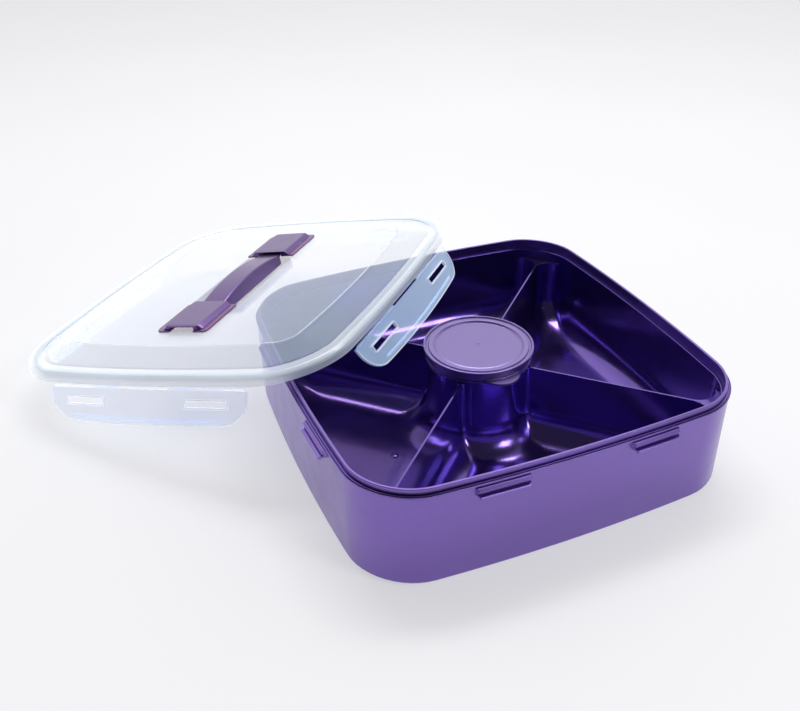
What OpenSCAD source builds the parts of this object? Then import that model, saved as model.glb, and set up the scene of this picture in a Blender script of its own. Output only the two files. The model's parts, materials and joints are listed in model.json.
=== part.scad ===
/* [Container] */
// Nominal side between opposite corners' tangent lines at the rim, before the bow of the sides
side = 290; // [240:1:340]
// How far the middle of each side bulges out past the nominal square
side_bow = 6.9; // [0:0.1:12]
// Corner radius at the rim flange
corner_radius = 43; // [25:1:60]
// Height of the container from the surface it stands on to the top of its lip
total_height = 81; // [60:0.5:110]
// Container wall thickness
wall = 2.0; // [1.2:0.1:3]
// Height of the flange top below the lip top
flange_drop = 3.9; // [2:0.1:8]
// Flange edge thickness
flange_thick = 2.4; // [1.2:0.1:5]
// How far the raised lip stands in from the flange edge
lip_inset = 2.8; // [1.5:0.1:5]
// Thickness of the raised lip
lip_thick = 1.9; // [1:0.1:4]
// Container floor thickness
floor_thick = 2.2; // [1.5:0.1:4]

/* [Latch hooks] */
// Length of each hook along the wall
hook_length = 37; // [20:0.5:60]
// Distance of each hook centre from the middle of its side
hook_offset = 57.4; // [30:0.1:80]
// How far a hook stands out from the wall
hook_out = 5.6; // [3:0.1:8]

/* [Divided tray] */
// Tray wall thickness
tray_wall = 1.4; // [1:0.1:3]
// Thickness of the diagonal dividers
divider_thick = 1.4; // [0.8:0.1:3]
// Height of the divider tops
divider_top = 63.6; // [40:0.1:75]
// Height of the tray's outer wall top
tray_top = 72.1; // [60:0.1:78]
// Vertical corner radius where a divider meets the tray wall
gusset_radius = 15; // [5:0.5:25]
// Outer radius of the central column
column_radius = 40; // [30:0.5:50]

/* [Dip cup] */
// Largest body radius of the dip cup
cup_radius = 36.6; // [25:0.1:45]
// Height of the cup's outside bottom
cup_bottom = 20; // [6:0.5:45]
// Radius of the cup lid
cup_lid_radius = 42.8; // [35:0.1:50]

/* [Lid] */
// Half width of the lid skirt at its corners' tangent lines
lid_half = 147.4; // [120:0.1:170]
// Bow of the lid sides
lid_bow = 7.4; // [0:0.1:12]
// Lid corner radius
lid_corner = 52; // [25:1:70]
// Height of the raised panel above the skirt's lower edge
panel_top = 13.5; // [8:0.1:25]
// Thickness of the lid material
lid_thick = 1.8; // [1:0.1:3]
// Lid turn about the vertical where it leans on the container corner
lid_turn = -44.7; // [-90:0.1:0]
// Lid tilt where it leans
lid_tilt = 12.05; // [0:0.05:30]

/* [Latch flaps] */
// Half the length of a flap along its hinge
flap_half = 92.8; // [60:0.1:110]
// Flap height at its ends
flap_height = 26.2; // [18:0.1:40]
// Extra flap height at the middle of its curved lower edge
flap_belly = 3.2; // [0:0.1:8]
// Angle of a hanging flap outward from the lid's normal
flap_hang = 29; // [0:0.5:90]
// Slot length
slot_length = 37.6; // [20:0.1:50]
// Slot height
slot_height = 4.6; // [2:0.1:8]
// Distance of a slot centre from the middle of the flap
slot_offset = 57.2; // [30:0.1:75]
// Distance of the slots' centre line from the hinge
slot_drop = 12.1; // [6:0.1:20]

/* [Handle] */
// Strap half width
strap_half = 11.3; // [8:0.1:18]
// Strap top above the skirt's lower edge at its middle
strap_crown = 20.8; // [16:0.1:30]
// End block top above the skirt's lower edge
block_top = 18.3; // [16:0.1:25]
// Half width of the end block's foot
block_foot = 24.6; // [20:0.1:30]

/* [Node] */
// Piece to draw

/* [Hidden] */
$fn = 96;
half = side / 2;
flange_top = total_height - flange_drop;
body_inset = 0.8;
rim_inner = lip_inset + lip_thick;
tray_inset = rim_inner + 0.2;
tray_in = tray_inset + tray_wall;
tray_floor = floor_thick + 0.1;
column_top = 66;
lid_pos = [-138, 179.8, 60.75];
hinge_x = lid_half + lid_bow - 1.5;
hinge_z = -0.44;
well_x = 24.5;
well_y = 47.5;
well_floor = 5.6;

// Outline of a square with rounded corners and bowed sides, h half width, r corner radius, b bow
function bowed(h, r, b, nc = 8, ns = 7) = [
    for (q = [0:3])
        let (sx = (q == 0 || q == 3) ? 1 : -1, sy = (q < 2) ? 1 : -1, c = h - r)
        each concat(
            [for (i = [0:nc]) let (a = q * 90 + 90 * i / nc)
                warp([sx * c + r * cos(a), sy * c + r * sin(a)], h, b)],
            [for (i = [1:ns - 1]) let (t = 1 - 2 * i / ns, p = (q == 0) ? [t * c, h] : (q == 1) ? [-h, t * c] : (q == 2) ? [-t * c, -h] : [h, -t * c])
                warp(p, h, b)])
];
function warp(p, h, b) = [p[0] * (1 + b / h * (1 - pow(p[1] / h, 2))), p[1] * (1 + b / h * (1 - pow(p[0] / h, 2)))];

// Container outline and lid outline, each moved in by an inset
module base_outline(inset = 0) polygon(bowed(half - inset, corner_radius - inset, side_bow));
module lid_outline(inset = 0) polygon(bowed(lid_half - inset, lid_corner - inset, lid_bow));

// Places children in the leaning lid's own axes
module in_lid() translate(lid_pos) rotate([0, 0, lid_turn]) rotate([0, -lid_tilt, 0]) children();

// Latch hook: a ledge under the flange whose face slopes out to a hanging rib with a gap behind it
module hook()
    rotate([90, 0, 90]) translate([0, 0, -hook_length / 2]) linear_extrude(hook_length)
        polygon([[-2.2, 74.4], [hook_out - 3.8, 74.4], [hook_out - 2.5, 72.7], [hook_out - 2.5, 71.8], [hook_out - 0.2, 69.4],
                 [hook_out, 69.1], [hook_out, 67.8], [hook_out - 0.4, 67.3], [hook_out - 2, 67.3], [hook_out - 2.6, 69.6], [-2.2, 69.8]]);

module container() color([0.46, 0.37, 0.66]) {
    difference() {
        union() {
            // narrower foot the container stands on
            linear_extrude(1.6) base_outline(3.6);
            translate([0, 0, 1.4]) linear_extrude(flange_top - 1.4) base_outline(body_inset);
            translate([0, 0, flange_top - flange_thick]) linear_extrude(flange_thick) base_outline(0);
            translate([0, 0, flange_top - 0.1]) linear_extrude(total_height - flange_top + 0.1) base_outline(lip_inset);
        }
        translate([0, 0, floor_thick]) linear_extrude(66 - floor_thick) base_outline(body_inset + wall);
        translate([0, 0, floor_thick]) linear_extrude(total_height) base_outline(rim_inner);
    }
    for (a = [0, 90, 180, 270], s = [-1, 1])
        rotate([0, 0, a]) translate([s * hook_offset, 0, 0])
            mirror([0, 1, 0]) translate([0, half - body_inset + side_bow * (1 - pow(hook_offset / half, 2)), 0]) hook();
}

// One compartment opening seen from above, on the +X side between two diagonal dividers
tray_h = half - tray_in;
function tray_wall_x(y) = tray_h + side_bow * (1 - pow(y / tray_h, 2));
gy0 = 104;
gx1 = tray_wall_x(gy0) - gusset_radius;
gy1 = gx1 - sqrt(2) * (gusset_radius + divider_thick / 2);
gx2 = tray_wall_x(gy1) - gusset_radius;
gy2 = gx2 - sqrt(2) * (gusset_radius + divider_thick / 2);
wall_lean = atan(2 * side_bow * gy2 / (tray_h * tray_h));
module compartment() {
    th = 45 - asin(divider_thick / 2 / column_radius);
    polygon(concat(
        [for (i = [0:7]) let (a = wall_lean + (135 - wall_lean) * i / 7) [gx2 + gusset_radius * cos(a), gy2 + gusset_radius * sin(a)]],
        [for (i = [0:12]) let (a = th - 2 * th * i / 12) [column_radius * cos(a), column_radius * sin(a)]],
        [for (i = [7:-1:0]) let (a = wall_lean + (135 - wall_lean) * i / 7) [gx2 + gusset_radius * cos(a), -gy2 - gusset_radius * sin(a)]],
        [for (i = [1:7]) let (y = (gy2 + gusset_radius * sin(wall_lean)) * (2 * i / 8 - 1)) [tray_wall_x(y), y]]
    ));
}

module divided_tray() color([0.13, 0.07, 0.33]) difference() {
    union() {
        translate([0, 0, tray_floor]) linear_extrude(divider_top - tray_floor) base_outline(tray_inset);
        translate([0, 0, divider_top - 0.1]) linear_extrude(tray_top - divider_top + 0.1) difference() {
            base_outline(tray_inset);
            base_outline(tray_in);
        }
        translate([0, 0, divider_top - 1]) cylinder(r = column_radius, h = column_top - divider_top + 1);
    }
    for (a = [0, 90, 180, 270]) rotate([0, 0, a])
        translate([0, 0, tray_floor + 1.8]) linear_extrude(divider_top) compartment();
    // bore of the column that the dip cup drops into
    translate([0, 0, tray_floor + 1.8]) cylinder(r = column_radius - 2.2, h = 80);
    // hollow corner gussets, open underneath
    for (a = [45, 135, 225, 315]) rotate([0, 0, a]) translate([167.5, 0, -1]) linear_extrude(divider_top - 1)
        polygon([[1.3, 0], [4, -4.2], [8.1, -11], [11.2, -11], [12.3, -6], [13, 0], [12.3, 6], [11.2, 11], [8.1, 11], [4, 4.2]]);
}

module dip_cup() color([0.46, 0.37, 0.66]) rotate_extrude()
    polygon([[0, cup_bottom], [30, cup_bottom], [32, cup_bottom + 2], [cup_radius, 66.1], [column_radius + 1.4, 66.1],
             [column_radius + 1.4, 67.8], [39.6, 67.8], [39.6, 72.6], [37.9, 72.6], [37.9, 67.8], [cup_radius - 1.8, 66.4],
             [30.4, cup_bottom + 2.8], [29, cup_bottom + 1.8], [0, cup_bottom + 1.8]]);

module cup_lid() color([0.57, 0.49, 0.74]) {
    rotate_extrude() polygon([[0, 73], [35.4, 73], [35.4, 69], [37.4, 69], [37.4, 72.9], [40.2, 72.9], [40.2, 68.6],
                              [cup_lid_radius - 1.1, 68.6], [cup_lid_radius - 1.1, 73.4], [cup_lid_radius, 73.8], [cup_lid_radius, 75.4], [cup_lid_radius - 0.6, 76], [cup_lid_radius - 1.6, 76],
                              [cup_lid_radius - 1.9, 74.9], [38.9, 74.9], [38.6, 75.6], [34.4, 75.6], [33.4, 74.7], [0, 74.7]]);
    // finger tab
    translate([0, 0, 68.7]) linear_extrude(1.5) difference() {
        translate([0, -36.5]) circle(r = 15);
        circle(r = cup_lid_radius - 1.7);
    }
}

// Sloping band between the flat ring and the raised panel, bottom at zb0/zb1
module band(zb0, zb1, in0, in1) {
    a = bowed(lid_half - in0, lid_corner - in0, lid_bow);
    b = bowed(lid_half - in1, lid_corner - in1, lid_bow);
    n = len(a);
    polyhedron(points = concat([for (p = a) [p[0], p[1], -1]], [for (p = a) [p[0], p[1], zb0]], [for (p = b) [p[0], p[1], zb1]]),
        faces = concat([[for (i = [0:n - 1]) i]], [[for (i = [n - 1:-1:0]) 2 * n + i]],
            [for (i = [0:n - 1]) [i, n + i, n + (i + 1) % n, (i + 1) % n]],
            [for (i = [0:n - 1]) each [[n + i, 2 * n + i, 2 * n + (i + 1) % n], [n + i, 2 * n + (i + 1) % n, n + (i + 1) % n]]]));
}

module lid_panel() color([0.9, 0.92, 0.95]) in_lid() {
    difference() {
        union() {
            linear_extrude(6.2) lid_outline(0);
            translate([0, 0, 6.1]) linear_extrude(1.3) lid_outline(0.9);
            translate([0, 0, 7.3]) linear_extrude(0.8) lid_outline(3);
            intersection() {
                band(8.1, panel_top, 13, 38);
                translate([0, 0, 4]) linear_extrude(20) lid_outline(12.9);
            }
        }
        difference() {
            translate([0, 0, -1]) linear_extrude(7.3) lid_outline(1.7);
            // inner wall of the seal channel
            translate([0, 0, 1.6]) linear_extrude(6) difference() {
                lid_outline(8.6);
                lid_outline(9.8);
            }
        }
        translate([0, 0, -0.5]) band(6.8, panel_top - lid_thick + 0.5, 13.6, 38.8);
        // finger well under the strap
        translate([-well_x, -well_y, well_floor]) cube([2 * well_x, 2 * well_y, 20]);
    }
    // pan of the finger well
    difference() {
        translate([-well_x - 1.5, -well_y - 1.5, well_floor - 1.5]) cube([2 * well_x + 3, 2 * well_y + 3, panel_top - well_floor + 1.4]);
        translate([-well_x, -well_y, well_floor]) cube([2 * well_x, 2 * well_y, 20]);
    }
    // posts the handle blocks snap onto
    for (y = [-1, 1], x = [-1, 1]) translate([x * 18, y * 72, panel_top - 0.3]) cylinder(r = 2.4, h = 2.6);
}

module lid_seal() color([0.93, 0.94, 0.95]) in_lid()
    translate([0, 0, 2.9]) linear_extrude(3.35) difference() {
        lid_outline(4.5);
        lid_outline(8.5);
    }

// A latch flap hanging from its hinge, drawn with the hinge along Y
module flap_plate() {
    c = hinge_x;
    function surf(s) = lid_half + lid_bow * (1 - pow(s / lid_half, 2)) - c - 0.5;
    n = 12;
    difference() {
        intersection() {
            translate([0, 0, -flap_height - flap_belly - 1]) linear_extrude(flap_height + flap_belly + 1 - 1.7)
                polygon(concat([for (i = [0:n]) let (s = flap_half * (2 * i / n - 1)) [surf(s), s]],
                               [for (i = [n:-1:0]) let (s = flap_half * (2 * i / n - 1)) [surf(s) - 1.8, s]]));
            rotate([90, 0, 90]) translate([0, 0, -8]) linear_extrude(14) polygon(flap_outline());
        }
        for (s = [-1, 1]) translate([-8, s * slot_offset - slot_length / 2, -slot_drop - slot_height / 2])
            cube([14, slot_length, slot_height]);
        translate([-8, -24.5, -2.6]) cube([14, 49, 2]);
    }
    // two living hinge webs with the slit between them
    for (s = [-1, 1]) translate([0, s * 53, 0]) {
        translate([-1.2, -28.5, -2.2]) cube([1.5, 57, 2.2]);
        rotate([90, 0, 0]) translate([0, 0, -28.5]) cylinder(r = 0.4, h = 57, $fn = 16);
    }
}
flap_round = 20;
function flap_outline() = concat(
    [[-flap_half, 0]],
    [for (i = [0:7]) let (a = 90 * i / 7, y = -flap_half + flap_round * (1 - cos(a)), t = flap_height - flap_round + flap_round * sin(a)) [y, -t - belly(y, t)]],
    [for (i = [1:11]) let (y = (flap_half - flap_round) * (2 * i / 12 - 1)) [y, -flap_height - belly(y, flap_height)]],
    [for (i = [7:-1:0]) let (a = 90 * i / 7, y = flap_half - flap_round * (1 - cos(a)), t = flap_height - flap_round + flap_round * sin(a)) [y, -t - belly(y, t)]],
    [[flap_half, 0]]);
function belly(y, t) = flap_belly * (1 - pow(y / flap_half, 2)) * t / flap_height;

module flap(turn) color([0.9, 0.92, 0.95]) in_lid()
    rotate([0, 0, turn]) translate([hinge_x, 0, hinge_z]) rotate([0, -flap_hang, 0]) flap_plate();

module flap_right() flap(0);
module flap_back() flap(90);
module flap_left() flap(180);
module flap_front() flap(270);

// Carrying strap, a channel-section bar with an arched top
module handle_strap() color([0.3, 0.2, 0.45]) in_lid() {
    n = 12;
    difference() {
        rotate([90, 0, 90]) translate([0, 0, -strap_half]) linear_extrude(2 * strap_half)
            polygon(concat([[-46, 7], [46, 7]], [for (i = [0:n]) let (y = 46 - 92 * i / n) [y, 15.9 + (strap_crown - 15.9) * (1 - pow(y / 46, 2))]]));
        translate([-strap_half + 2, -43, 6]) cube([2 * strap_half - 4, 86, 8]);
    }
    for (s = [-1, 1]) translate([-strap_half + 0.8, s == 1 ? 45.9 : -45.9 - 27, 14]) cube([2 * strap_half - 1.6, 27, 1.9]);
}

// End block: sloped sides, a tunnel for the strap tongue, sockets for the posts, an open outer end
module handle_block(s) color([0.36, 0.26, 0.5]) in_lid() scale([1, s, 1]) {
    difference() {
        rotate([90, 0, 0]) translate([0, 0, -95]) linear_extrude(46)
            polygon([[-block_foot, panel_top + 0.05], [block_foot, panel_top + 0.05], [block_foot, panel_top + 1.4], [21.4, panel_top + 1.8], [15.8, block_top - 0.4],
                     [15.1, block_top], [-15.1, block_top], [-15.8, block_top - 0.4], [-21.4, panel_top + 1.8], [-block_foot, panel_top + 1.4]]);
        translate([-strap_half - 0.3, 48, panel_top - 1]) cube([2 * strap_half + 0.6, 48, 17.4 - panel_top + 1]);
        for (x = [-1, 1]) translate([x * 18, 72, panel_top - 1]) cylinder(r = 2.5, h = 3.5);
    }
}
module handle_block_near() handle_block(-1);
module handle_block_far() handle_block(1);

container();
divided_tray();
dip_cup();
cup_lid();
lid_panel();
lid_seal();
flap_right();
flap_back();
flap_left();
flap_front();
handle_strap();
handle_block_near();
handle_block_far();
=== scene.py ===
"""Chip and dip server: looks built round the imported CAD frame.

Shapes are written in millimetres in the same frame as the CAD, and become metres when a mesh is made.
Lid shapes are written in the leaning lid's own axes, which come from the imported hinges.
"""

import json
import math

import bmesh
import bpy
from mathutils import Matrix, Vector
from mathutils.geometry import tessellate_polygon


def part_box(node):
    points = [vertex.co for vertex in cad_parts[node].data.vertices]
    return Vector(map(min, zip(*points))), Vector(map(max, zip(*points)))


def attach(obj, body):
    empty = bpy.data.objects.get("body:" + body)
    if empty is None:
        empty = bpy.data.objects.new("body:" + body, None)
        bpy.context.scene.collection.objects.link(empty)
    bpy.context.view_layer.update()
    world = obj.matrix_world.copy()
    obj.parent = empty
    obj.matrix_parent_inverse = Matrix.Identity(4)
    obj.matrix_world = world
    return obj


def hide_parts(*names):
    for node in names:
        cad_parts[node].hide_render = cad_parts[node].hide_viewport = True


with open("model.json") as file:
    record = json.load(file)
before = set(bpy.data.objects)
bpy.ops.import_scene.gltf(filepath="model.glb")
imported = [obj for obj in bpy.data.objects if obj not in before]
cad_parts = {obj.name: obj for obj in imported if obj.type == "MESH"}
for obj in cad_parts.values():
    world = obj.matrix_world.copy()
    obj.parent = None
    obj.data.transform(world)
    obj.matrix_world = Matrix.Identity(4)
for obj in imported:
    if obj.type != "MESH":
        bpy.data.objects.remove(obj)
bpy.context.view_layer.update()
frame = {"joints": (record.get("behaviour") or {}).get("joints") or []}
MM = 0.001

# ---- driving dimensions, mm; an inset is how far inside the outermost outline a line lies -----------

TOTAL_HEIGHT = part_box("container")[1].z / MM
SIDE_BOW = 6.9
HALF = 145.0
CORNER_R = 43.0
BODY_INSET = 0.8
WALL = 2.0
FLANGE_TOP = TOTAL_HEIGHT - 3.9
LIP_INSET = 2.8
RIM_INNER = 4.7
RIM_FOOT = 66.0
WALL_TOP = 64.0
FLOOR_Z = 2.2

HOOK_LENGTH = 37.0
HOOK_OFFSET = 57.4
HOOK_OUT = 5.6
HOOK_SLANT = 2.2
HOOK_MIDDLE = 71.0

tray_low, tray_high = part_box("divided_tray")
TRAY_BOTTOM = tray_low.z / MM
TRAY_TOP = tray_high.z / MM
TRAY_INSET = RIM_INNER + 0.2
TRAY_IN = TRAY_INSET + 1.4
TRAY_FLOOR = 4.1
DIVIDER_HALF = 0.7
DIVIDER_TOP = 63.6
GUSSET_R = 15.0
COLUMN_R = 40.0
COLUMN_BORE = 37.8
COLUMN_TOP = 66.0
COLUMN_FILLET = 3.0
FLOOR_FILLET = 24.0
ROUND_EDGE = 0.2
WALL_DRAFT = math.tan(math.radians(0.9))
GATE_MARK = (-79.0, -18.0)

CUP_R = 36.6
CUP_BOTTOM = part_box("dip_cup")[0].z / MM
CUP_WALL = 1.8
CUP_FLANGE_R = COLUMN_R + 1.4
CUP_FLANGE = (66.1, 67.8)  # its underside and its top
CUP_RIM = (37.9, 39.6)  # its inner and outer radius
CUP_RIM_TOP = 72.6
CUP_LID_R = 42.8
CUP_LID_FOOT = 68.6
CUP_LID_PLATE = 73.0
CUP_LID_TOP = 76.0
TAB_R = 15.0
TAB_SHIFT = 36.5

LID_HALF = 147.4
LID_CORNER = 52.0
LID_BOW = 7.4
PANEL_TOP = 13.5
LID_THICK = 1.8
RING_TOP = 8.1
BAND_OUT = 13.0
BAND_IN = 38.0
WELL = (24.5, 47.5)  # half across the strap and half along it
WELL_FLOOR = 5.6
WELL_CORNER = 5.0
POST_AT = (18.0, 72.0)  # across the strap and along it

FLAP_HALF = 92.8
FLAP_HEIGHT = 26.2
FLAP_BELLY = 3.2
FLAP_ROUND = 20.0
FLAP_THICK = 1.8
FLAP_HANG = math.radians(29)
FLAP_GAP = 1.3
SLIT_GAP = 1.9
SLIT_HALF = 24.5
WEB_END = 90.5
ROWS_CLOSE = 79.0  # where the mesh rows begin to follow the rounded corner
HINGE_X = LID_HALF + LID_BOW - 1.5
HINGE_Z = -0.44
SLOT = (37.6, 4.6)  # length and height
SLOT_OFFSET = 57.2
SLOT_DROP = 12.1

STRAP_HALF = 11.3
STRAP_END = 46.0
STRAP_WELL_END = 46.8
STRAP_CHANNEL_END = 43.0
STRAP_TUCKED_END = 48.8
STRAP_TONGUE_END = 72.9
STRAP_CREST = (15.9, 4.9)  # height at the ends and the rise to the middle
BLOCK_START = 49.0
BLOCK_END = 95.0
BLOCK_TOP = 18.3
BLOCK_FOOT = PANEL_TOP + 0.06
FLANGE_HALF = 24.6
FLANGE_UP = PANEL_TOP + 1.4
TUNNEL = STRAP_HALF + 0.4


# ---- the leaning lid's axes, from its packed joints ------------------------------------------------

joints = {j["name"]: j for j in frame["joints"]}
lid_x = Vector(joints["latch_back_hinge"]["axis"]).normalized()
lid_y = -Vector(joints["latch_right_hinge"]["axis"]).normalized()
lid_z = Vector(joints["strap_play"]["axis"]).normalized()
right_pin = Vector(joints["latch_right_hinge"]["pos_m"])
left_pin = Vector(joints["latch_left_hinge"]["pos_m"])
lid_origin = (right_pin + left_pin) / 2 - lid_z * HINGE_Z * MM
lid_rows = [(lid_x[i], lid_y[i], lid_z[i], lid_origin[i] / MM) for i in range(3)]
LID_AXES = Matrix((*lid_rows, (0, 0, 0, 1)))
UPRIGHT = Matrix.Identity(4)


# ---- outlines and profiles -------------------------------------------------------------------------


def bowed(half, radius, bow, arc=12, run=16):
    """Outline of a square with rounded corners and sides that bow outward, anticlockwise."""

    def warp(x, y):
        return (
            x * (1 + bow / half * (1 - (y / half) ** 2)),
            y * (1 + bow / half * (1 - (x / half) ** 2)),
        )

    straight = half - radius
    points = []
    for quarter in range(4):
        sx = 1 if quarter in (0, 3) else -1
        sy = 1 if quarter < 2 else -1
        for i in range(arc + 1):
            a = math.radians(90 * (quarter + i / arc))
            points.append(warp(sx * straight + radius * math.cos(a), sy * straight + radius * math.sin(a)))
        for i in range(1, run):
            t = (1 - 2 * i / run) * straight
            points.append(warp(*[(t, half), (-half, t), (-t, -half), (half, -t)][quarter]))
    return points


def base_outline(inset):
    return bowed(HALF - inset, CORNER_R - inset, SIDE_BOW)


def lid_outline(inset):
    return bowed(LID_HALF - inset, LID_CORNER - inset, LID_BOW)


def soften(corners, closed=False, steps=4):
    """A polyline of (u, v, radius) corners, with each corner turned into an arc of its radius."""
    points = []
    for i, (u, v, radius) in enumerate(corners):
        here = Vector((u, v))
        if radius == 0 or (not closed and i in (0, len(corners) - 1)):
            points.append((u, v))
            continue
        back = (Vector(corners[i - 1][:2]) - here).normalized()
        ahead = (Vector(corners[(i + 1) % len(corners)][:2]) - here).normalized()
        half_angle = math.acos(max(-1, min(1, back.dot(ahead)))) / 2
        if half_angle > math.radians(89):
            points.append((u, v))
            continue
        centre = here + (back + ahead).normalized() * radius / math.sin(half_angle)
        start = here + back * radius / math.tan(half_angle) - centre
        end = here + ahead * radius / math.tan(half_angle) - centre
        turn = math.pi - 2 * half_angle
        for k in range(steps + 1):
            t = k / steps
            p = centre + (start * math.sin((1 - t) * turn) + end * math.sin(t * turn)) / math.sin(turn)
            points.append((p.x, p.y))
    return points


def rounded_box(half_x, half_y, radius, steps=5):
    """Outline of a rectangle with rounded corners, anticlockwise."""
    points = []
    for quarter in range(4):
        sx = 1 if quarter in (0, 3) else -1
        sy = 1 if quarter < 2 else -1
        for i in range(steps + 1):
            a = math.radians(90 * (quarter + i / steps))
            x = sx * (half_x - radius) + radius * math.cos(a)
            y = sy * (half_y - radius) + radius * math.sin(a)
            points.append((x, y))
    return points


def circle(radius, steps):
    angles = [2 * math.pi * i / steps for i in range(steps)]
    return [(radius * math.cos(a), radius * math.sin(a)) for a in angles]


# ---- mesh building ---------------------------------------------------------------------------------


class Shell:
    """Collects rings of points and the faces between them."""

    def __init__(self):
        self.points = []
        self.faces = []
        self.marked = set()

    def ring(self, outline, z=None):
        first = len(self.points)
        self.points += [(p[0], p[1], z) for p in outline] if z is not None else [tuple(p) for p in outline]
        return list(range(first, len(self.points)))

    def bridge(self, a, b, closed=True):
        last = len(a) if closed else len(a) - 1
        for i in range(last):
            j = (i + 1) % len(a)
            self.faces.append((a[i], a[j], b[j], b[i]))

    def loft(self, rings, closed=True, loop=False):
        for a, b in zip(rings, rings[1:]):
            self.bridge(a, b, closed)
        if loop:
            self.bridge(rings[-1], rings[0], closed)
        return rings

    def fill(self, *loops):
        """Flat faces inside the first loop and outside the others."""
        polygons = [[Vector(self.points[i]) for i in loop] for loop in loops]
        flat = [i for loop in loops for i in loop]
        for triangle in tessellate_polygon(polygons):
            self.faces.append(tuple(flat[i] for i in triangle))

    def map(self, function):
        self.points = [function(*p) for p in self.points]
        return self

    def add(self, other, second_material=False):
        shift = len(self.points)
        if second_material:
            self.marked.update(range(shift, shift + len(other.points)))
        self.points += other.points
        self.faces += [tuple(i + shift for i in f) for f in other.faces]
        return self


def lofted(outline, profile, ends=(0, -1), loop=False):
    """Rings of an outline(inset) at each (inset, z) of a profile, with flat faces over the given ends."""
    shell = Shell()
    rings = shell.loft([shell.ring(outline(inset), z) for inset, z in profile], loop=loop)
    for end in ends:
        shell.fill(rings[end])
    return shell


def turned(profile, steps=128, ends=(0, -1)):
    """A profile of (radius, z) turned about the vertical axis, with flat ends."""
    return lofted(lambda radius: circle(radius, steps), profile, ends)


def swept(stations):
    """Sections of equal point count, each a list of (x, y, z), with flat ends."""
    shell = Shell()
    rings = shell.loft([shell.ring(s) for s in stations])
    shell.fill(rings[0])
    shell.fill(rings[-1])
    return shell


def make_piece(name, shell, axes, materials, body, node, slot, sharp=40):
    """Turns a shell into a piece that rides on a body and stands for a CAD node."""
    mesh = bpy.data.meshes.new(name)
    points = [axes @ Vector(p) * MM for p in shell.points]
    mesh.from_pydata(points, [], shell.faces)
    for material in materials:
        mesh.materials.append(material)
    for face in mesh.polygons:
        face.material_index = int(face.vertices[0] in shell.marked)
    work = bmesh.new()
    work.from_mesh(mesh)
    bmesh.ops.remove_doubles(work, verts=work.verts, dist=0.004 * MM)
    bmesh.ops.dissolve_degenerate(work, edges=work.edges, dist=0.002 * MM)
    bmesh.ops.recalc_face_normals(work, faces=work.faces)
    work.to_mesh(mesh)
    work.free()
    mesh.shade_smooth()
    mesh.set_sharp_from_angle(angle=math.radians(sharp))
    piece = bpy.data.objects.new(name, mesh)
    bpy.context.scene.collection.objects.link(piece)
    weighted = piece.modifiers.new("even_shading", "WEIGHTED_NORMAL")
    weighted.keep_sharp = True
    weighted.weight = 60
    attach(piece, body)
    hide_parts(node)


# ---- materials -------------------------------------------------------------------------------------


class Finish:
    """A node material with a Principled shader fed by procedural nodes in object coordinates."""

    def __init__(self, name):
        self.material = bpy.data.materials.new(name)
        self.material.use_nodes = True
        self.tree = self.material.node_tree
        self.shader = self.tree.nodes["Principled BSDF"]
        self.output = self.tree.nodes["Material Output"]
        self.place = self.tree.nodes.new("ShaderNodeTexCoord").outputs["Object"]

    def node(self, kind, **values):
        made = self.tree.nodes.new(kind)
        for key, value in values.items():
            if key in made.inputs:
                made.inputs[key].default_value = value
            else:
                setattr(made, key, value)
        return made

    def link(self, source, target):
        self.tree.links.new(source, target)

    def noise(self, scale, detail=2.0, stretch=None):
        made = self.node("ShaderNodeTexNoise", Scale=scale, Detail=detail)
        if stretch:
            mapping = self.node("ShaderNodeMapping")
            mapping.inputs["Scale"].default_value = stretch
            self.link(self.place, mapping.inputs["Vector"])
            self.link(mapping.outputs["Vector"], made.inputs["Vector"])
        else:
            self.link(self.place, made.inputs["Vector"])
        return made.outputs["Fac"]

    def ramp(self, source, low, high, start=0.3, end=0.7):
        made = self.node("ShaderNodeValToRGB")
        first, last = made.color_ramp.elements
        first.position, last.position = start, end
        first.color, last.color = (*low, 1), (*high, 1)
        self.link(source, made.inputs["Fac"])
        return made.outputs["Color"]

    def spread(self, source, low, high):
        made = self.node("ShaderNodeMapRange")
        made.inputs["From Min"].default_value = 0.3
        made.inputs["From Max"].default_value = 0.7
        made.inputs["To Min"].default_value = low
        made.inputs["To Max"].default_value = high
        self.link(source, made.inputs["Value"])
        return made.outputs["Result"]

    def relief(self, source, strength, depth_mm):
        made = self.node("ShaderNodeBump", Strength=strength, Distance=depth_mm * MM)
        self.link(source, made.inputs["Height"])
        self.link(made.outputs["Normal"], self.shader.inputs["Normal"])

    def fixed(self, **values):
        for key, value in values.items():
            self.shader.inputs[key.replace("_", " ")].default_value = value
        return self


def shade(colour, factor):
    return tuple(min(1.0, c * factor) for c in colour)


def pearl(name, colour, roughness, metallic, coat, coat_roughness, grain=0.035):
    """Pearlescent moulded plastic: fine flake in its colour, a soft flow pattern and a clear skin."""
    finish = Finish(name)
    flake = finish.ramp(finish.noise(2200, 1), shade(colour, 0.94), shade(colour, 1.07))
    flow = finish.ramp(finish.noise(9, 3, (1, 1, 2.5)), (0.94, 0.94, 0.95), (1.0, 1.0, 1.0))
    both = finish.node("ShaderNodeMix", data_type="RGBA", blend_type="MULTIPLY")
    both.inputs["Factor"].default_value = 1.0
    finish.link(flake, both.inputs["A"])
    finish.link(flow, both.inputs["B"])
    finish.link(both.outputs["Result"], finish.shader.inputs["Base Color"])
    wear = finish.spread(finish.noise(60, 4), roughness - 0.03, roughness + 0.04)
    finish.link(wear, finish.shader.inputs["Roughness"])
    finish.relief(finish.noise(1400, 2), grain, 0.05)
    return finish.fixed(
        Metallic=metallic, Coat_Weight=coat, Coat_Roughness=coat_roughness, Coat_IOR=1.5
    ).material


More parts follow.
